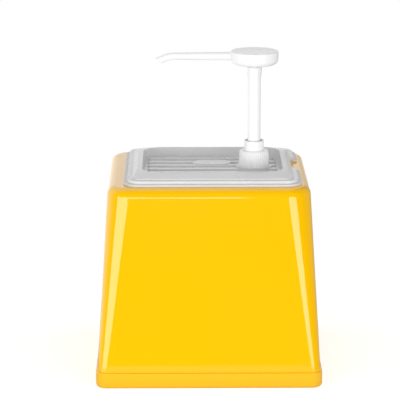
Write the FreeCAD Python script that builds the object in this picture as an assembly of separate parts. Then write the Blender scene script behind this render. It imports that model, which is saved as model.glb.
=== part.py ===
import FreeCAD, Part
import math
import os

# Sauce pump dispenser: a moulded housing on a base tray, a gastronorm tub hanging in it by its rim,
# a ribbed lid on the rim, and a screwed-in hand pump whose head turns and whose plunger springs up.
# Millimetres. The origin is the middle of the base on the table, +X is to the right, +Y to the back,
# +Z is up. The spout points to -X.

# ---- tub ----
TUB_W = 176.0                  # rim outline of a sixth-size gastronorm tub
TUB_D = 162.0
TUB_DEPTH = 150.0
TUB_RIM_THICK = 2.4
TUB_RIM_WIDTH = 14.0
TUB_RIM_CORNER = 16.0
TUB_RIM_ROUND = 0.8
TUB_WALL = 1.8
TUB_CORNER = 22.0
TUB_TAPER = 8.0                # each side draws in this much from rim to floor
TUB_FLOOR_ROUND = 7.0
TUB_OFFSET_X = 4.0             # the tub hangs pushed to one side of the mouth

# ---- housing ----
HOUSING_HEIGHT = 183.0         # above the tray
HOUSING_LEDGE = 11.65          # the top reaches this far past the tub's rim all round
HOUSING_FLARE = 10.8           # each side spreads this much from top to foot
HOUSING_WALL = 3.0
HOUSING_FOOT_CORNER = 9.0      # the corners open out upwards, like a cone
HOUSING_TOP_CORNER = 23.5
HOUSING_TOP_ROUND = 9.0
MOUTH_ROUND = 1.0

# ---- base tray ----
TRAY_H = 16.0
TRAY_LEDGE = 1.75              # the tray's face stands this far out from the housing's foot
TRAY_FLOOR = 3.0
TRAY_FOOT_ROUND = 3.5
TRAY_TOP_ROUND = 0.8
LIP_HEIGHT = 5.0
LIP_WALL = 1.7

# ---- lid ----
RIM_SHOWING = 3.5              # the lid lies on the tub's rim and leaves this much of it showing
LID_WALL = 2.0
LID_CORNER = 13.0
LID_EDGE_ROUND = 0.8
FLANGE_THICK = 2.9
FLANGE_WIDTH = 5.0
STEP_HEIGHT = 1.3
CROWN_RISE = 2.7               # the border climbs steeply off the step
CROWN_FLAT_WIDTH = 5.0         # and then gently to the recess
CROWN_FLAT_RISE = 0.8
RECESS_END_INSET = 14.5        # lid's edge to the recess at the ends
RECESS_SIDE_INSET = 18.2       # and at the sides
RECESS_DEPTH = 9.8
RECESS_CORNER = 20.0
RECESS_DRAFT = 0.7
RECESS_FLOOR_ROUND = 1.6
RIB_COUNT = 6
RIB_PITCH = 16.45
RIB_WIDTH = 8.0
RIB_HEIGHT = 2.6
RIB_ROUND = 1.1
RIB_END_GAP = 4.0
PAD_W = 40.0                   # blank raised pad in the middle of the ribs
PAD_D = 22.0
PAD_Y = 17.0
PAD_PROUD = 0.9                # above the ribs
BAR_W = 29.0
BAR_D = 3.0
BAR_Y = 37.0
BOSS_MARGIN = 2.3              # the boss reaches this far past the cap's foot
BOSS_HEIGHT = 3.8
NECK_OD = 25.4
NECK_WALL = 1.5
NECK_HEIGHT = 10.0
NOTCH_LENGTH = 50.0            # finger notch in the lid's flange and the tub's rim
NOTCH_Y = 8.0
NOTCH_ROUND = 2.0

# ---- pump ----
PUMP_INSET = 27.5              # pump axis from the recess's right-hand wall
STROKE = 55.0
STROKE_SPARE = 4.0             # barrel left below the piston
COLLAR_SPARE = 9.0             # rod left between sleeve and collar when pressed right down
BARREL_WALL = 2.0
BARREL_FLANGE = 1.5
BARREL_CONE = 6.0
DIP_TUBE_OD = 10.0
DIP_TUBE_WALL = 1.2
DIP_TUBE_SOCKET = 10.0
DIP_TUBE_OFF_FLOOR = 6.0
CAP_WALL = 2.7                 # at the cap's foot
CAP_TAPER = 1.0
CAP_TOP_WALL = 2.5
CAP_CHAMFER = 1.2
CAP_GROOVES = 40
CAP_GROOVE_DEPTH = 0.5
CAP_GROOVE_WIDTH = 1.1
ROD_OD = 13.0
ROD_BORE = 7.0
SLEEVE_WELL_GAP = 2.0          # open ring round the rod
SLEEVE_WELL_DEPTH = 4.0
SLEEVE_WALL = 1.3
SLEEVE_HEIGHT = 10.0           # above the cap
SLEEVE_FLANGE = 2.0
PISTON_HEIGHT = 8.0
PISTON_TOP_GAP = 1.5
COLLAR_HEIGHT = 11.0
COLLAR_FLARE = 1.2
COLLAR_RINGS = 3
COLLAR_RING_CUT = 0.35
SPIGOT_STEP = 1.2              # the spigot is this much slimmer than the rod, all round
SPIGOT_HEIGHT = 8.0

# ---- pump head ----
HEAD_D = 48.0
HEAD_HEIGHT = 13.8
HEAD_FOOT_ROUND = 6.0
HEAD_TOP_ROUND = 1.2
HEAD_DISH = 0.8
SOCKET_WALL = 2.65
SOCKET_HEIGHT = 2.2
SPOUT_BELOW_TOP = 5.4
SPOUT_ROOT_OD = 8.8
SPOUT_END_OD = 7.3
SPOUT_WALL = 1.3
SPOUT_REACH = 95.2             # pump axis to the farthest point of the spout
SPOUT_BEND = 24.0              # degrees, downwards
SPOUT_BEND_R = 22.0
SPOUT_BENT_LENGTH = 4.1
SPOUT_CUT = 30.0               # degrees that the mouth leans from square
SPOUT_FILLET = 2.0

# ---- fits ----
SEAT_GAP = 0.3                 # loose parts of one stack, and parts that turn past each other
RUN_GAP = 0.05                 # radial, a shaft or piston in its bore
DROP_GAP = 0.5                 # what is lowered into a hole or over a rim

# ---- outlines worked out from the tub ----
HOUSING_TOP_W = TUB_W + 2 * HOUSING_LEDGE
HOUSING_TOP_D = TUB_D + 2 * HOUSING_LEDGE
TRAY_W = HOUSING_TOP_W + 2 * (HOUSING_FLARE + TRAY_LEDGE)
TRAY_D = HOUSING_TOP_D + 2 * (HOUSING_FLARE + TRAY_LEDGE)
LID_W = TUB_W - 2 * RIM_SHOWING
LID_D = TUB_D - 2 * RIM_SHOWING
RECESS_W = LID_W - 2 * RECESS_END_INSET
RECESS_D = LID_D - 2 * RECESS_SIDE_INSET
PUMP_X = TUB_OFFSET_X + RECESS_W / 2 - PUMP_INSET

# ---- diameters worked out from the neck and the rod ----
BARREL_OD = NECK_OD - 2 * NECK_WALL - 2 * SEAT_GAP
BARREL_BORE = BARREL_OD - 2 * BARREL_WALL
CAP_FOOT_D = NECK_OD + 2 * (SEAT_GAP + CAP_WALL)
CAP_TOP_D = CAP_FOOT_D - 2 * CAP_TAPER
BOSS_D = CAP_FOOT_D + 2 * BOSS_MARGIN
SLEEVE_WELL_D = ROD_OD + 2 * SLEEVE_WELL_GAP
SLEEVE_OD = SLEEVE_WELL_D + 2 * SLEEVE_WALL
COLLAR_TOP_D = ROD_OD + 2 * COLLAR_FLARE
SPIGOT_OD = ROD_OD - 2 * SPIGOT_STEP
SOCKET_OD = SPIGOT_OD + 2 * (RUN_GAP + SOCKET_WALL)

# ---- heights worked out from the stack ----
HOUSING_TOP_Z = TRAY_H + HOUSING_HEIGHT
TUB_RIM_TOP = HOUSING_TOP_Z + TUB_RIM_THICK
TUB_FLOOR_Z = TUB_RIM_TOP - TUB_DEPTH
FLANGE_TOP = TUB_RIM_TOP + FLANGE_THICK
STEP_TOP = FLANGE_TOP + STEP_HEIGHT
CROWN_TOP = STEP_TOP + CROWN_RISE
LID_TOP = CROWN_TOP + CROWN_FLAT_RISE
LID_FLOOR_TOP = LID_TOP - RECESS_DEPTH
BOSS_TOP = LID_FLOOR_TOP + BOSS_HEIGHT
NECK_TOP = BOSS_TOP + NECK_HEIGHT
BARREL_TOP = NECK_TOP + BARREL_FLANGE
SLEEVE_FLANGE_TOP = BARREL_TOP + SLEEVE_FLANGE
CAP_TOP = SLEEVE_FLANGE_TOP + CAP_TOP_WALL
SLEEVE_TOP = CAP_TOP + SLEEVE_HEIGHT
COLLAR_Z = SLEEVE_TOP + STROKE + COLLAR_SPARE
COLLAR_TOP = COLLAR_Z + COLLAR_HEIGHT
SOCKET_Z = COLLAR_TOP + SEAT_GAP
HEAD_Z = SOCKET_Z + SOCKET_HEIGHT
HEAD_TOP = HEAD_Z + HEAD_HEIGHT
SPOUT_Z = HEAD_TOP - SPOUT_BELOW_TOP
PISTON_TOP = BARREL_TOP - PISTON_TOP_GAP
PISTON_Z = PISTON_TOP - PISTON_HEIGHT


def rounded_rectangle(width, depth, corner, z, x=0.0, y=0.0):
    """A wire at height z: four straight runs joined by four quarter circles."""
    half_w = width / 2 - corner
    half_d = depth / 2 - corner
    lean = corner * math.sqrt(0.5)
    edges = []
    for turn in range(4):
        angle = math.radians(90 * turn)
        out = (math.cos(angle), math.sin(angle))
        side = (-out[1], out[0])
        reach, slide = (half_w + corner, half_d) if turn % 2 == 0 else (half_d + corner, half_w)
        centre_out = reach - corner

        def point(a, b):
            return FreeCAD.Vector(x + out[0] * a + side[0] * b, y + out[1] * a + side[1] * b, z)

        edges.append(Part.LineSegment(point(reach, -slide), point(reach, slide)).toShape())
        bend = Part.Arc(point(reach, slide), point(centre_out + lean, slide + lean), point(centre_out, slide + corner))
        edges.append(bend.toShape())
    return Part.Wire(edges)


def block(foot, top, x=0.0, y=0.0):
    """A straight or drafted solid between two rounded rectangles, each given as (z, width, depth, corner)."""
    wires = [rounded_rectangle(w, d, corner, z, x, y) for z, w, d, corner in (foot, top)]
    if foot[1:] == top[1:]:
        return Part.Face(wires[0]).extrude(FreeCAD.Vector(0, 0, top[0] - foot[0]))
    return Part.makeLoft(wires, True, True)


def edges_at(shape, z, clear_of=None):
    """Level edges at height z, leaving out those that touch the shape clear_of."""
    found = []
    for edge in shape.Edges:
        box = edge.BoundBox
        if abs(box.ZMin - z) > 1e-4 or abs(box.ZMax - z) > 1e-4:
            continue
        if clear_of is not None and edge.distToShape(clear_of)[0] < 1e-4:
            continue
        found.append(edge)
    return found


def turned(profile, x=0.0):
    """A solid of revolution about the upright axis at x, from (radius, z) corner points."""
    points = [FreeCAD.Vector(x + r, 0, z) for r, z in profile]
    face = Part.Face(Part.makePolygon(points + points[:1]))
    return face.revolve(FreeCAD.Vector(x, 0, 0), FreeCAD.Vector(0, 0, 1), 360)


def disc(diameter, z0, z1, x=PUMP_X):
    return Part.makeCylinder(diameter / 2, z1 - z0, FreeCAD.Vector(x, 0, z0))


def housing_size(z, inset):
    """Outer width, depth and corner radius of the tapering housing at height z, less an inset wall."""
    share = (z - TRAY_H) / HOUSING_HEIGHT
    spread = HOUSING_FLARE * (1 - share) - inset
    width = HOUSING_TOP_W + 2 * spread
    depth = HOUSING_TOP_D + 2 * spread
    corner = HOUSING_FOOT_CORNER + (HOUSING_TOP_CORNER - HOUSING_FOOT_CORNER) * share - inset
    return z, width, depth, corner


def make_base_tray():
    corner = HOUSING_FOOT_CORNER + TRAY_LEDGE
    tray = block((0, TRAY_W, TRAY_D, corner), (TRAY_H, TRAY_W, TRAY_D, corner))
    tray = tray.makeFillet(TRAY_FOOT_ROUND, edges_at(tray, 0))
    tray = tray.makeFillet(TRAY_TOP_ROUND, edges_at(tray, TRAY_H))
    lip_inset = HOUSING_WALL + SEAT_GAP
    tray = tray.fuse(block(housing_size(TRAY_H - 1, lip_inset), housing_size(TRAY_H + LIP_HEIGHT, lip_inset)))
    pocket = housing_size(TRAY_H, HOUSING_WALL + SEAT_GAP + LIP_WALL)[1:]
    return tray.cut(block((TRAY_FLOOR, *pocket), (TRAY_H + LIP_HEIGHT + 1, *pocket)))


def make_housing():
    shell = block(housing_size(TRAY_H, 0), housing_size(HOUSING_TOP_Z, 0))
    shell = shell.makeFillet(HOUSING_TOP_ROUND, edges_at(shell, HOUSING_TOP_Z))
    ceiling = HOUSING_TOP_Z - HOUSING_WALL
    inside = block(housing_size(TRAY_H, HOUSING_WALL), housing_size(ceiling, HOUSING_WALL))
    inside = inside.makeFillet(HOUSING_TOP_ROUND - HOUSING_WALL, edges_at(inside, ceiling))
    shell = shell.cut(inside)
    play = 2 * (TUB_OFFSET_X + DROP_GAP)
    mouth_w = tub_body_size()[0] + play
    mouth_d = tub_body_size()[1] + 2 * DROP_GAP
    corner = TUB_CORNER + DROP_GAP
    mouth = block((ceiling - 1, mouth_w, mouth_d, corner), (HOUSING_TOP_Z + 1, mouth_w, mouth_d, corner))
    outer_edges = edges_at(shell, HOUSING_TOP_Z)
    shell = shell.cut(mouth)
    rim = Part.makeCompound(outer_edges)
    return shell.makeFillet(MOUTH_ROUND, edges_at(shell, HOUSING_TOP_Z, rim))


def tub_body_size():
    """Outer width and depth of the tub just below its rim."""
    return TUB_W - 2 * TUB_RIM_WIDTH, TUB_D - 2 * TUB_RIM_WIDTH


def notch_tool(z0, z1):
    """The block that the finger notch takes out, from the foot of the lid's step outwards."""
    back_x = TUB_OFFSET_X + LID_W / 2 - FLANGE_WIDTH
    length = TUB_OFFSET_X + TUB_W / 2 + 5 - back_x
    corner = FreeCAD.Vector(back_x, NOTCH_Y - NOTCH_LENGTH / 2, z0)
    tool = Part.makeBox(length, NOTCH_LENGTH, z1 - z0, corner)
    inner = [e for e in tool.Edges if e.BoundBox.XMax < back_x + 1e-4 and e.BoundBox.ZLength > 1e-4]
    return tool.makeFillet(NOTCH_ROUND, inner)


def make_tub():
    x = TUB_OFFSET_X
    rim = block((HOUSING_TOP_Z, TUB_W, TUB_D, TUB_RIM_CORNER), (TUB_RIM_TOP, TUB_W, TUB_D, TUB_RIM_CORNER), x)
    rim = rim.makeFillet(TUB_RIM_ROUND, edges_at(rim, TUB_RIM_TOP))
    body_w, body_d = tub_body_size()
    foot_w = body_w - 2 * TUB_TAPER
    foot_d = body_d - 2 * TUB_TAPER
    foot_corner = TUB_CORNER - TUB_TAPER
    body = block((TUB_FLOOR_Z, foot_w, foot_d, foot_corner), (TUB_RIM_TOP, body_w, body_d, TUB_CORNER), x)
    body = body.makeFillet(TUB_FLOOR_ROUND, edges_at(body, TUB_FLOOR_Z))
    wall = 2 * TUB_WALL
    floor = TUB_FLOOR_Z + TUB_WALL
    inside = block((floor, foot_w - wall, foot_d - wall, foot_corner - TUB_WALL),
                   (TUB_RIM_TOP, body_w - wall, body_d - wall, TUB_CORNER - TUB_WALL), x)
    inside = inside.makeFillet(TUB_FLOOR_ROUND - TUB_WALL, edges_at(inside, floor))
    return rim.fuse(body).cut([inside, notch_tool(HOUSING_TOP_Z - 1, TUB_RIM_TOP + 1)])


def step_size(inset=0.0):
    corner = LID_CORNER - FLANGE_WIDTH / 2
    return LID_W - 2 * FLANGE_WIDTH - 2 * inset, LID_D - 2 * FLANGE_WIDTH - 2 * inset, corner - inset


def recess_size(grow=0.0):
    return RECESS_W + 2 * grow, RECESS_D + 2 * grow, RECESS_CORNER + grow


def border(inset, drop):
    """The crowned border from the step up to the recess, or its underside when inset and dropped."""
    step = step_size(inset)
    crown = recess_size(CROWN_FLAT_WIDTH)
    mouth = recess_size(inset)
    steep = block((STEP_TOP - drop, *step), (CROWN_TOP - drop, *crown), TUB_OFFSET_X)
    gentle = block((CROWN_TOP - drop, *crown), (LID_TOP - drop, *mouth), TUB_OFFSET_X)
    return steep.fuse(gentle)


def recess_block(grow, z0, z1):
    """The drafted recess between two heights; grow widens it to its underside."""
    mouth_w, mouth_d, corner = recess_size(grow)
    draw = 2 * RECESS_DRAFT
    return block((z0, mouth_w - draw, mouth_d - draw, corner - RECESS_DRAFT),
                 (z1, mouth_w, mouth_d, corner), TUB_OFFSET_X)


def rib(width, depth, height, x, y, rounding):
    """A raised bar on the recess floor with half-round ends and a rounded top edge."""
    top = LID_FLOOR_TOP + height
    end = min(width, depth) / 2 - 0.01
    bar = block((LID_FLOOR_TOP - 1, width, depth, end), (top, width, depth, end), x, y)
    return bar.makeFillet(rounding, edges_at(bar, top))


def make_lid():
    x = TUB_OFFSET_X
    foot = TUB_RIM_TOP
    flange = block((foot, LID_W, LID_D, LID_CORNER), (FLANGE_TOP, LID_W, LID_D, LID_CORNER), x)
    flange = flange.makeFillet(LID_EDGE_ROUND, edges_at(flange, FLANGE_TOP))
    step = step_size()
    under = step_size(LID_WALL)
    under_top = STEP_TOP - LID_WALL
    lid = flange.fuse([block((FLANGE_TOP - 1, *step), (STEP_TOP, *step), x), border(0, 0)])
    hollow = block((foot - 1, *under), (under_top, *under), x)
    lid = lid.cut(hollow.fuse(border(LID_WALL, LID_WALL)))

    pan = recess_block(LID_WALL, LID_FLOOR_TOP - LID_WALL, LID_TOP - LID_WALL / 2)
    pan = pan.makeFillet(RECESS_FLOOR_ROUND + LID_WALL, edges_at(pan, LID_FLOOR_TOP - LID_WALL))
    well = recess_block(0, LID_FLOOR_TOP, LID_TOP)
    well = well.makeFillet(RECESS_FLOOR_ROUND, edges_at(well, LID_FLOOR_TOP))
    lid = lid.fuse(pan).cut(well)

    raised = [disc(BOSS_D, LID_FLOOR_TOP - 1, BOSS_TOP)]
    for index in range(RIB_COUNT):
        rib_y = (index - (RIB_COUNT - 1) / 2) * RIB_PITCH
        reach = rib_reach(rib_y)
        raised.append(rib(2 * reach, RIB_WIDTH, RIB_HEIGHT, x, rib_y, RIB_ROUND))
    raised.append(rib(PAD_W, PAD_D, RIB_HEIGHT + PAD_PROUD, x, PAD_Y, RIB_ROUND))
    raised.append(rib(BAR_W, BAR_D, RIB_HEIGHT + PAD_PROUD, x, BAR_Y, RIB_ROUND))
    lid = lid.fuse(raised)

    lid = lid.fuse(disc(NECK_OD, BOSS_TOP - 1, NECK_TOP))
    lid = lid.cut(disc(NECK_OD - 2 * NECK_WALL, LID_FLOOR_TOP - LID_WALL - 1, NECK_TOP + 1))
    lid = lid.cut(notch_tool(foot - 1, FLANGE_TOP + 1))
    return lid.removeSplitter()


def rib_reach(y):
    """Half length of the rib at y, so that its ends follow the recess's rounded corners."""
    mouth_w, mouth_d, corner = recess_size()
    half_w = mouth_w / 2 - RECESS_DRAFT
    half_d = mouth_d / 2 - RECESS_DRAFT
    radius = corner - RECESS_DRAFT
    into_corner = max(0.0, abs(y) + RIB_WIDTH / 2 - (half_d - radius))
    lost = radius - math.sqrt(max(0.0, radius ** 2 - into_corner ** 2))
    return half_w - lost - RIB_END_GAP


def make_barrel():
    """The pump's cylinder: it hangs through the lid's neck and narrows to the dip tube's socket."""
    bore = BARREL_BORE / 2
    radius = BARREL_OD / 2
    floor = PISTON_Z - STROKE - STROKE_SPARE
    tube = DIP_TUBE_OD / 2
    shoulder = floor - BARREL_WALL
    foot = shoulder - BARREL_CONE
    seat = foot - DIP_TUBE_SOCKET
    passage = tube - DIP_TUBE_WALL
    return turned([
        (bore, BARREL_TOP), (NECK_OD / 2, BARREL_TOP), (NECK_OD / 2, NECK_TOP), (radius, NECK_TOP),
        (radius, shoulder), (tube + BARREL_WALL, foot), (tube + BARREL_WALL, seat), (tube, seat),
        (tube, foot), (passage, foot), (passage, shoulder), (bore, floor)], PUMP_X)


def make_dip_tube():
    top = PISTON_Z - STROKE - STROKE_SPARE - BARREL_WALL - BARREL_CONE
    bottom = TUB_FLOOR_Z + TUB_WALL + DIP_TUBE_OFF_FLOOR
    tube = disc(DIP_TUBE_OD, bottom, top)
    return tube.cut(disc(DIP_TUBE_OD - 2 * DIP_TUBE_WALL, bottom - 1, top + 1))


def make_screw_cap():
    """The closure over the lid's neck: a slightly tapered cap with fine grip grooves."""
    foot = CAP_FOOT_D / 2
    top = CAP_TOP_D / 2
    cavity = NECK_OD / 2 + SEAT_GAP
    hole = SLEEVE_OD / 2 + SEAT_GAP
    cap = turned([
        (cavity, BOSS_TOP), (foot, BOSS_TOP), (top, CAP_TOP - CAP_CHAMFER), (top - CAP_CHAMFER, CAP_TOP),
        (hole, CAP_TOP), (hole, SLEEVE_FLANGE_TOP), (cavity, SLEEVE_FLANGE_TOP)], PUMP_X)
    groove_top = CAP_TOP - 2 * CAP_CHAMFER
    groove_foot = BOSS_TOP + CAP_CHAMFER
    depth = CAP_GROOVE_DEPTH
    half = CAP_GROOVE_WIDTH / 2
    wires = []
    for z in (groove_foot, groove_top):
        share = (z - BOSS_TOP) / (CAP_TOP - CAP_CHAMFER - BOSS_TOP)
        radius = foot + (top - foot) * share
        points = [(radius - depth, 0), (radius + depth, 2 * half), (radius + depth, -2 * half)]
        corners = [FreeCAD.Vector(a, b, z) for a, b in points]
        wires.append(Part.makePolygon(corners + corners[:1]))
    groove = Part.makeLoft(wires, True, True)
    grooves = []
    for index in range(CAP_GROOVES):
        one = groove.copy()
        one.rotate(FreeCAD.Vector(0, 0, 0), FreeCAD.Vector(0, 0, 1), 360 * index / CAP_GROOVES)
        one.translate(FreeCAD.Vector(PUMP_X, 0, 0))
        grooves.append(one)
    return cap.cut(grooves)


def make_guide_sleeve():
    """The sleeve that stands out of the cap and guides the rod, with an open well round the rod."""
    bore = ROD_OD / 2 + RUN_GAP
    radius = SLEEVE_OD / 2
    well = SLEEVE_WELL_D / 2
    well_floor = SLEEVE_TOP - SLEEVE_WELL_DEPTH
    return turned([
        (bore, BARREL_TOP), (NECK_OD / 2, BARREL_TOP), (NECK_OD / 2, SLEEVE_FLANGE_TOP),
        (radius, SLEEVE_FLANGE_TOP), (radius, SLEEVE_TOP), (well, SLEEVE_TOP), (well, well_floor),
        (bore, well_floor)], PUMP_X)


def make_plunger():
    """Hollow rod with the piston at its foot and the ringed collar and spigot at its top."""
    rod = ROD_OD / 2
    collar = COLLAR_TOP_D / 2
    bore = ROD_BORE / 2
    piston = BARREL_BORE / 2 - RUN_GAP
    outline = [(bore, PISTON_Z), (piston, PISTON_Z), (piston, PISTON_TOP), (rod, PISTON_TOP), (rod, COLLAR_Z)]
    outline.append((rod + COLLAR_RING_CUT, COLLAR_Z))
    for index in range(COLLAR_RINGS):
        share = (index + 1) / (COLLAR_RINGS + 1)
        z = COLLAR_Z + COLLAR_HEIGHT * share
        radius = rod + (collar - rod) * share
        outline.extend([(radius, z), (radius + COLLAR_RING_CUT, z)])
    spigot = SPIGOT_OD / 2
    spigot_top = COLLAR_TOP + SPIGOT_HEIGHT
    outline.extend([(collar, COLLAR_TOP), (spigot, COLLAR_TOP), (spigot, spigot_top), (bore, spigot_top)])
    return turned(outline, PUMP_X)


def spout_line():
    """Start, bend points and end of the spout's centre line, in the plane y = 0."""
    bend = math.radians(SPOUT_BEND)
    drop = SPOUT_BEND_R * (1 - math.cos(bend))
    run = SPOUT_BEND_R * math.sin(bend)
    lean = SPOUT_END_OD / 2 * math.sin(bend)
    tip_x = PUMP_X - SPOUT_REACH + lean
    end = FreeCAD.Vector(tip_x, 0, SPOUT_Z - drop - SPOUT_BENT_LENGTH * math.sin(bend))
    bend_end = FreeCAD.Vector(tip_x + SPOUT_BENT_LENGTH * math.cos(bend), 0, SPOUT_Z - drop)
    bend_start = FreeCAD.Vector(bend_end.x + run, 0, SPOUT_Z)
    middle = FreeCAD.Vector(bend_start.x - SPOUT_BEND_R * math.sin(bend / 2), 0,
                            SPOUT_Z - SPOUT_BEND_R * (1 - math.cos(bend / 2)))
    start = FreeCAD.Vector(PUMP_X, 0, SPOUT_Z)
    return start, bend_start, middle, bend_end, end


def pipe(root_d, end_d, past_end):
    """The spout's round bar: a long cone, a bend of even thickness and a straight end."""
    start, bend_start, middle, bend_end, end = spout_line()
    corners = [start, start + FreeCAD.Vector(0, 0, root_d / 2), bend_start + FreeCAD.Vector(0, 0, end_d / 2),
               bend_start, start]
    cone = Part.Face(Part.makePolygon(corners)).revolve(start, FreeCAD.Vector(1, 0, 0), 360)
    circle = Part.Wire(Part.makeCircle(end_d / 2, bend_start, FreeCAD.Vector(-1, 0, 0)))
    hub = FreeCAD.Vector(bend_start.x, 0, SPOUT_Z - SPOUT_BEND_R)
    elbow = Part.Face(circle).revolve(hub, FreeCAD.Vector(0, -1, 0), SPOUT_BEND)
    direction = (end - bend_end).normalize()
    straight = Part.makeCylinder(end_d / 2, SPOUT_BENT_LENGTH + past_end, bend_end, direction)
    return cone.fuse([elbow, straight])


def make_head():
    """The turning head: a flat round button with its spout, on a short socket round the spigot."""
    radius = HEAD_D / 2
    button = turned([(0, HEAD_Z), (radius, HEAD_Z), (radius, HEAD_TOP), (0, HEAD_TOP)], PUMP_X)
    button = button.makeFillet(HEAD_FOOT_ROUND, edges_at(button, HEAD_Z))
    button = button.makeFillet(HEAD_TOP_ROUND, edges_at(button, HEAD_TOP))
    flat = radius - HEAD_TOP_ROUND - 1
    ball = (flat ** 2 + HEAD_DISH ** 2) / (2 * HEAD_DISH)
    dish = Part.makeSphere(ball, FreeCAD.Vector(PUMP_X, 0, HEAD_TOP - HEAD_DISH + ball))

    overrun = SPOUT_END_OD * math.tan(math.radians(SPOUT_CUT))
    head = button.fuse(pipe(SPOUT_ROOT_OD, SPOUT_END_OD, overrun))
    head = head.makeFillet(SPOUT_FILLET, root_edges(head))
    head = head.fuse(disc(SOCKET_OD, SOCKET_Z, HEAD_Z + 1)).cut(dish)
    passage = pipe(SPOUT_ROOT_OD - 2 * SPOUT_WALL, SPOUT_END_OD - 2 * SPOUT_WALL, 2 * overrun)
    riser = disc(SPIGOT_OD + 2 * RUN_GAP, SOCKET_Z - 1, COLLAR_TOP + SPIGOT_HEIGHT + SEAT_GAP)
    return head.cut([passage, riser, disc(ROD_BORE, SOCKET_Z, SPOUT_Z), mouth_cut(overrun)])


def root_edges(head):
    """The edges where the spout grows out of the button's side."""
    root = Part.Vertex(PUMP_X - HEAD_D / 2, 0, SPOUT_Z)
    found = []
    for edge in head.Edges:
        near = edge.distToShape(root)[0] < SPOUT_ROOT_OD
        crosswise = edge.BoundBox.YLength > SPOUT_END_OD / 4 and edge.BoundBox.XLength < HEAD_FOOT_ROUND
        if near and crosswise:
            found.append(edge)
    return found


def mouth_cut(overrun):
    """The block beyond the spout's mouth, whose face leans so that the mouth looks downwards."""
    end = spout_line()[-1]
    size = 4 * SPOUT_END_OD
    tool = Part.makeBox(size, size, size, FreeCAD.Vector(-size, -size / 2, -size / 2))
    tool.rotate(FreeCAD.Vector(0, 0, 0), FreeCAD.Vector(0, 1, 0), -SPOUT_BEND - SPOUT_CUT)
    direction = FreeCAD.Vector(-math.cos(math.radians(SPOUT_BEND)), 0, -math.sin(math.radians(SPOUT_BEND)))
    tool.translate(end + direction * (overrun / 2))
    return tool


def main():
    os.makedirs("parts", exist_ok=True)
    nodes = {
        "base_tray": make_base_tray(),
        "housing": make_housing(),
        "tub": make_tub(),
        "lid": make_lid(),
        "barrel": make_barrel(),
        "dip_tube": make_dip_tube(),
        "screw_cap": make_screw_cap(),
        "guide_sleeve": make_guide_sleeve(),
        "plunger": make_plunger(),
        "head": make_head(),
    }
    for name, shape in nodes.items():
        box = shape.BoundBox
        print(f"{name:13s} solids {len(shape.Solids)} valid {shape.isValid()} volume {shape.Volume:9.0f} "
              f"x {box.XMin:.1f}..{box.XMax:.1f} y {box.YMin:.1f}..{box.YMax:.1f} z {box.ZMin:.1f}..{box.ZMax:.1f}")
        shape.exportStep(f"parts/{name}.step")


main()
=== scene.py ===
# %% [markdown]
# # A sauce pump dispenser
# A yellow moulded housing stands on a base tray. A white tub hangs in it by its rim, a frosted lid lies
# on the rim, and a white hand pump is screwed into the lid. The engineered solids come in as a fixed
# frame, with every shape that the object has, so this lesson gives them their finishes, and then builds
# the studio round them.

# %% Load the frame
import bpy
import math
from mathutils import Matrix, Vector

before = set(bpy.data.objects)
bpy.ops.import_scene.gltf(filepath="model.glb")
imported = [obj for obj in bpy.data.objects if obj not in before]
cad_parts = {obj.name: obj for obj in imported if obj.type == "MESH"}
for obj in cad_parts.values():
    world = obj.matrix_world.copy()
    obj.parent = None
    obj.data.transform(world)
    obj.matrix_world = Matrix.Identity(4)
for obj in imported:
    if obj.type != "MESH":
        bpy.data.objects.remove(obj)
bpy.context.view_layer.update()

bpy.ops.object.select_all(action="DESELECT")
print("nodes:", sorted(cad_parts))

# %% [markdown]
# ## One group for every moulded surface
# Injection-moulded plastic is never perfectly even. It has a faint cloudiness, its gloss varies a
# little where hands and cloths have been, and it carries a very fine skin texture. Its edges are never
# quite sharp either, so the normals are rounded a little across them. All of it could be modelled or
# painted, but noise and bump cost nothing and follow every shape. The effect is the same on each piece
# of this object, so it is a node group that every material places with its own values.

# %% The moulded surface group
CLOUD_SCALE = 18.0         # clouds of about 50 mm
SMEAR_SCALE = 12.0         # wiped patches of about 80 mm
SKIN_HEIGHT = 0.0002
EDGE_SAMPLES = 6


def socket(group, name, kind, way, value=None):
    """One named socket on a node group."""
    made = group.interface.new_socket(name=name, in_out=way, socket_type=kind)
    if value is not None:
        made.default_value = value


def noise(nodes, detail):
    """A noise texture with so many finer layers on its main one."""
    made = nodes.new("ShaderNodeTexNoise")
    made.inputs["Detail"].default_value = detail
    return made


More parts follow.
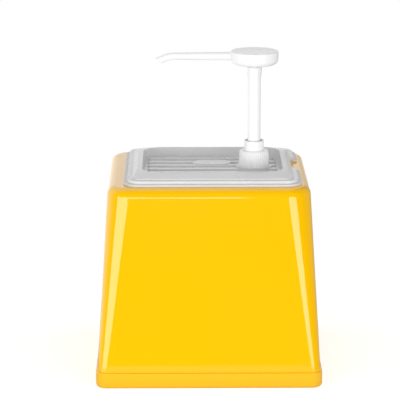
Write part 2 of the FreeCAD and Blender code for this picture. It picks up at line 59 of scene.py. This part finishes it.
def make_moulded_group():
    """The group's inputs and outputs, and the four effects between them."""
    group = bpy.data.node_groups.new("moulded_surface", "ShaderNodeTree")
    socket(group, "Colour", "NodeSocketColor", "INPUT", (0.8, 0.8, 0.8, 1))
    socket(group, "Worn Colour", "NodeSocketColor", "INPUT", (0.7, 0.7, 0.7, 1))
    socket(group, "Cloud Scale", "NodeSocketFloat", "INPUT", CLOUD_SCALE)
    socket(group, "Gloss Low", "NodeSocketFloat", "INPUT", 0.2)
    socket(group, "Gloss High", "NodeSocketFloat", "INPUT", 0.3)
    socket(group, "Skin Scale", "NodeSocketFloat", "INPUT", 1400.0)
    socket(group, "Skin Depth", "NodeSocketFloat", "INPUT", 0.05)
    socket(group, "Edge Round", "NodeSocketFloat", "INPUT", 0.0006)
    socket(group, "Colour", "NodeSocketColor", "OUTPUT")
    socket(group, "Roughness", "NodeSocketFloat", "OUTPUT")
    socket(group, "Normal", "NodeSocketVector", "OUTPUT")
    nodes, links = group.nodes, group.links
    into = nodes.new("NodeGroupInput")
    out = nodes.new("NodeGroupOutput")
    place = nodes.new("ShaderNodeTexCoord").outputs["Object"]

    cloud = noise(nodes, 3.0)
    links.new(place, cloud.inputs["Vector"])
    links.new(into.outputs["Cloud Scale"], cloud.inputs["Scale"])
    blend = nodes.new("ShaderNodeMix")
    blend.data_type = "RGBA"
    links.new(cloud.outputs["Fac"], blend.inputs["Factor"])
    links.new(into.outputs["Colour"], blend.inputs["A"])
    links.new(into.outputs["Worn Colour"], blend.inputs["B"])
    links.new(blend.outputs["Result"], out.inputs["Colour"])

    smear = noise(nodes, 4.0)
    smear.inputs["Scale"].default_value = SMEAR_SCALE
    links.new(place, smear.inputs["Vector"])
    gloss = nodes.new("ShaderNodeMapRange")
    gloss.inputs["From Min"].default_value = 0.3
    gloss.inputs["From Max"].default_value = 0.7
    links.new(smear.outputs["Fac"], gloss.inputs["Value"])
    links.new(into.outputs["Gloss Low"], gloss.inputs["To Min"])
    links.new(into.outputs["Gloss High"], gloss.inputs["To Max"])
    links.new(gloss.outputs["Result"], out.inputs["Roughness"])

    skin = noise(nodes, 2.0)
    links.new(place, skin.inputs["Vector"])
    links.new(into.outputs["Skin Scale"], skin.inputs["Scale"])
    bump = nodes.new("ShaderNodeBump")
    bump.inputs["Distance"].default_value = SKIN_HEIGHT
    links.new(into.outputs["Skin Depth"], bump.inputs["Strength"])
    links.new(skin.outputs["Fac"], bump.inputs["Height"])

    soft_edge = nodes.new("ShaderNodeBevel")
    soft_edge.samples = EDGE_SAMPLES
    links.new(into.outputs["Edge Round"], soft_edge.inputs["Radius"])
    links.new(soft_edge.outputs["Normal"], bump.inputs["Normal"])
    links.new(bump.outputs["Normal"], out.inputs["Normal"])
    return group


MOULDED = make_moulded_group()
print("group:", MOULDED.name, "with", len(MOULDED.nodes), "nodes")

# %% [markdown]
# ## Four plastics
# The housing and tray are glossy ABS in a warm, deep yellow, smooth enough to mirror the lamps. The tub is
# satin white. The lid is frosted and slightly grey, and lets a trace of light through, which a faint glow
# stands for. The pump is a clean white with a soft sheen. One function makes them all, because only the
# values differ.

# %% The materials
def moulded_plastic(name, colour, worn, gloss, skin, specular=0.5, glow=0.0, edge=0.0006):
    """A plastic from the group: gloss is its lowest and highest roughness, skin its scale and depth."""
    material = bpy.data.materials.new(name)
    material.use_nodes = True
    nodes, links = material.node_tree.nodes, material.node_tree.links
    shader = nodes["Principled BSDF"]
    surface = nodes.new("ShaderNodeGroup")
    surface.node_tree = MOULDED
    surface.inputs["Colour"].default_value = (*colour, 1)
    surface.inputs["Worn Colour"].default_value = (*worn, 1)
    surface.inputs["Gloss Low"].default_value, surface.inputs["Gloss High"].default_value = gloss
    surface.inputs["Skin Scale"].default_value, surface.inputs["Skin Depth"].default_value = skin
    surface.inputs["Edge Round"].default_value = edge
    links.new(surface.outputs["Colour"], shader.inputs["Base Color"])
    links.new(surface.outputs["Roughness"], shader.inputs["Roughness"])
    links.new(surface.outputs["Normal"], shader.inputs["Normal"])
    shader.inputs["Specular IOR Level"].default_value = specular
    shader.inputs["Emission Color"].default_value = (*colour, 1)
    shader.inputs["Emission Strength"].default_value = glow
    return material


YELLOW = moulded_plastic("housing_yellow", (1.0, 0.555, 0.0), (0.985, 0.545, 0.0),
                         gloss=(0.05, 0.08), skin=(900.0, 0.003), specular=0.8, edge=0.0003)
FROSTED = moulded_plastic("lid_frosted", (0.73, 0.73, 0.73), (0.70, 0.70, 0.705),
                          gloss=(0.24, 0.32), skin=(1600.0, 0.001), glow=0.04, edge=0.0004)
SATIN = moulded_plastic("tub_satin", (0.72, 0.715, 0.70), (0.70, 0.695, 0.68),
                        gloss=(0.35, 0.45), skin=(1500.0, 0.03))
WHITE = moulded_plastic("pump_white", (0.96, 0.96, 0.96), (0.94, 0.94, 0.94),
                        gloss=(0.24, 0.32), skin=(1800.0, 0.001))
print("materials:", YELLOW.name, FROSTED.name, SATIN.name, WHITE.name)

# %% [markdown]
# Each node of the frame takes the finish of the piece that it is. Only the material in its slots changes.

# %% Finish the nodes
FINISH = {
    "base_tray": YELLOW, "housing": YELLOW, "tub": SATIN, "lid": FROSTED, "barrel": WHITE,
    "dip_tube": WHITE, "screw_cap": WHITE, "guide_sleeve": WHITE, "plunger": WHITE, "head": WHITE,
}
for name, material in FINISH.items():
    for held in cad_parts[name].material_slots:
        held.material = material
print("finished", len(FINISH), "nodes")

# %% [markdown]
# ## The studio
# The dispenser stands on a small white table in an all-white room, as such ware is shown in a catalogue.
# The table glows to the camera alone, so it melts into the white room and still keeps the object's shadow.

# %% Floor
FLOOR_SIZE = 0.44
FLOOR_GLOW = 0.60

bpy.ops.mesh.primitive_plane_add(size=FLOOR_SIZE, location=(0, 0, 0))
floor = bpy.context.object
floor.name = "floor"
paper = bpy.data.materials.new("white_paper")
paper.use_nodes = True
nodes, links = paper.node_tree.nodes, paper.node_tree.links
matt = nodes["Principled BSDF"]
matt.inputs["Base Color"].default_value = (0.85, 0.85, 0.85, 1)
matt.inputs["Roughness"].default_value = 0.9
matt.inputs["Specular IOR Level"].default_value = 0.1
glow = nodes.new("ShaderNodeEmission")
path = nodes.new("ShaderNodeLightPath")
to_camera = nodes.new("ShaderNodeMath")
to_camera.operation = "MULTIPLY"
to_camera.inputs[1].default_value = FLOOR_GLOW
links.new(path.outputs["Is Camera Ray"], to_camera.inputs[0])
links.new(to_camera.outputs["Value"], glow.inputs["Strength"])
both = nodes.new("ShaderNodeAddShader")
links.new(matt.outputs["BSDF"], both.inputs[0])
links.new(glow.outputs["Emission"], both.inputs[1])
links.new(both.outputs["Shader"], nodes["Material Output"].inputs["Surface"])
floor.data.materials.append(paper)
print("floor", tuple(floor.dimensions))

# %% [markdown]
# The room's brightness follows the direction a ray leaves in. Rays from the camera see plain white. Light
# falls on the object from both sides and the front, less from behind, and a little less from below.
# Mirrored rays see a room that is dark in front and bright behind, which keeps the housing's flat face deep
# in colour and lays a sheen on its level ledge.

# %% World
SIDE_LIGHT_LEFT = 0.80
SIDE_LIGHT_RIGHT = 0.94
FRONT_LIGHT = 0.65
BACK_LIGHT = 0.25
LIGHT_FROM_BELOW = 0.75    # as a share of the light from the same side above
MIRRORED_FRONT = 0.04
MIRRORED_BACK = 1.25
MIRRORED_RIGHT = 0.25      # as a share of what is mirrored on the left

world = bpy.data.worlds.new("studio")
bpy.context.scene.world = world
world.use_nodes = True
nodes, links = world.node_tree.nodes, world.node_tree.links
path = nodes.new("ShaderNodeLightPath")
place = nodes.new("ShaderNodeTexCoord")
parts = nodes.new("ShaderNodeSeparateXYZ")
links.new(place.outputs["Generated"], parts.inputs["Vector"])


def ramp(axis, start, end, low, high):
    """A brightness that goes smoothly from low to high as the ray's part along axis goes start to end."""
    step = nodes.new("ShaderNodeMapRange")
    step.interpolation_type = "SMOOTHSTEP"
    step.inputs["From Min"].default_value = start
    step.inputs["From Max"].default_value = end
    step.inputs["To Min"].default_value = low
    step.inputs["To Max"].default_value = high
    links.new(parts.outputs[axis], step.inputs["Value"])
    return step.outputs["Result"]


def combine(how, first, second):
    """Two brightnesses made into one."""
    joined = nodes.new("ShaderNodeMath")
    joined.operation = how
    links.new(first, joined.inputs[0])
    links.new(second, joined.inputs[1])
    return joined.outputs["Value"]


def background(strength):
    """A white background of one brightness, or of the brightness that a socket gives."""
    made = nodes.new("ShaderNodeBackground")
    made.inputs["Color"].default_value = (1, 1, 1, 1)
    if isinstance(strength, float):
        made.inputs["Strength"].default_value = strength
    else:
        links.new(strength, made.inputs["Strength"])
    return made.outputs["Background"]


def choose(ray, others, these):
    """The background these for one kind of ray, and others for the rest."""
    mix = nodes.new("ShaderNodeMixShader")
    links.new(path.outputs[ray], mix.inputs["Fac"])
    links.new(others, mix.inputs[1])
    links.new(these, mix.inputs[2])
    return mix.outputs["Shader"]


right = ramp("X", 0.5, 0.85, 0.0, SIDE_LIGHT_RIGHT)
left = ramp("X", -0.85, -0.5, SIDE_LIGHT_LEFT, 0.0)
front_to_back = ramp("Y", -0.2, 0.3, FRONT_LIGHT, BACK_LIGHT)
round_about = combine("MAXIMUM", combine("ADD", right, left), front_to_back)
fill = combine("MULTIPLY", round_about, ramp("Z", -0.12, 0.0, LIGHT_FROM_BELOW, 1.0))
behind = ramp("Y", -0.30, 0.60, MIRRORED_FRONT, MIRRORED_BACK)
mirrored = combine("MULTIPLY", behind, ramp("X", 0.05, 0.35, 1.0, MIRRORED_RIGHT))
lit = choose("Is Glossy Ray", background(fill), background(mirrored))
room = choose("Is Camera Ray", lit, background(1.0))
links.new(room, nodes["World Output"].inputs["Surface"])
print("world with", len(nodes), "nodes")

# %% [markdown]
# Two low panels stand in front to the left and right, so each front corner of the housing carries a pale
# upright stripe. A low strip between them draws the thin bright line under the housing's top fillet. Each
# is placed by the direction it is seen in from the middle of the housing: how far round from the front,
# how high, and how bright its face is. A face of one brightness needs a power that grows with its area.

# %% Lamps
PANEL_DISTANCE = 1.8
PANEL_CENTRE = Vector((0.0, 0.0, 0.15))


def panel(name, turn, low, high, spread, brightness):
    """A flat lamp that covers the angles turn +- spread round from the front, and low to high upward."""
    middle = math.radians((low + high) / 2)
    across = 2 * PANEL_DISTANCE * math.tan(math.radians(spread))
    tall = 2 * PANEL_DISTANCE * math.tan(math.radians((high - low) / 2))
    data = bpy.data.lights.new(name, "AREA")
    data.shape = "RECTANGLE"
    data.size = across
    data.size_y = tall
    data.energy = brightness * math.pi * across * tall
    lamp = bpy.data.objects.new(name, data)
    bpy.context.collection.objects.link(lamp)
    around = math.radians(turn)
    level = math.cos(middle)
    toward = Vector((math.sin(around) * level, -math.cos(around) * level, math.sin(middle)))
    lamp.location = PANEL_CENTRE + toward * PANEL_DISTANCE
    lamp.rotation_euler = toward.to_track_quat("Z", "Y").to_euler()
    print(name, "of", round(data.energy, 2), "W")


panel("left_panel", turn=-38, low=-13, high=12, spread=25, brightness=3.0)
panel("right_panel", turn=25, low=-13, high=12, spread=16, brightness=3.2)
panel("front_strip", turn=-5, low=-3.5, high=12, spread=8, brightness=2.6)

# %% [markdown]
# ## The camera
# A long lens from well back keeps the upright edges nearly parallel. It looks down a little, so the
# lid's recess opens up to view.

# %% Camera
VIEW_DOWN = math.radians(13.51)
VIEW_TURN = math.radians(0.60)
VIEW_DISTANCE = 2.1885
VIEW_TARGET = Vector((-0.0081, 0.0, 0.1668))
LENS_LENGTH = 193.5
SENSOR_WIDTH = 36.0
FARTHEST_VIEW = 20.0

level = math.cos(VIEW_DOWN)
ahead = Vector((math.sin(VIEW_TURN) * level, math.cos(VIEW_TURN) * level, -math.sin(VIEW_DOWN)))
lens = bpy.data.cameras.new("camera")
lens.lens = LENS_LENGTH
lens.sensor_width = SENSOR_WIDTH
lens.clip_end = FARTHEST_VIEW
camera = bpy.data.objects.new("camera", lens)
bpy.context.collection.objects.link(camera)
camera.location = VIEW_TARGET - ahead * VIEW_DISTANCE
camera.rotation_euler = (math.pi / 2 - VIEW_DOWN, 0, -VIEW_TURN)
bpy.context.scene.camera = camera
bpy.context.scene.view_settings.view_transform = "Standard"
print("camera at", tuple(round(v, 4) for v in camera.location))
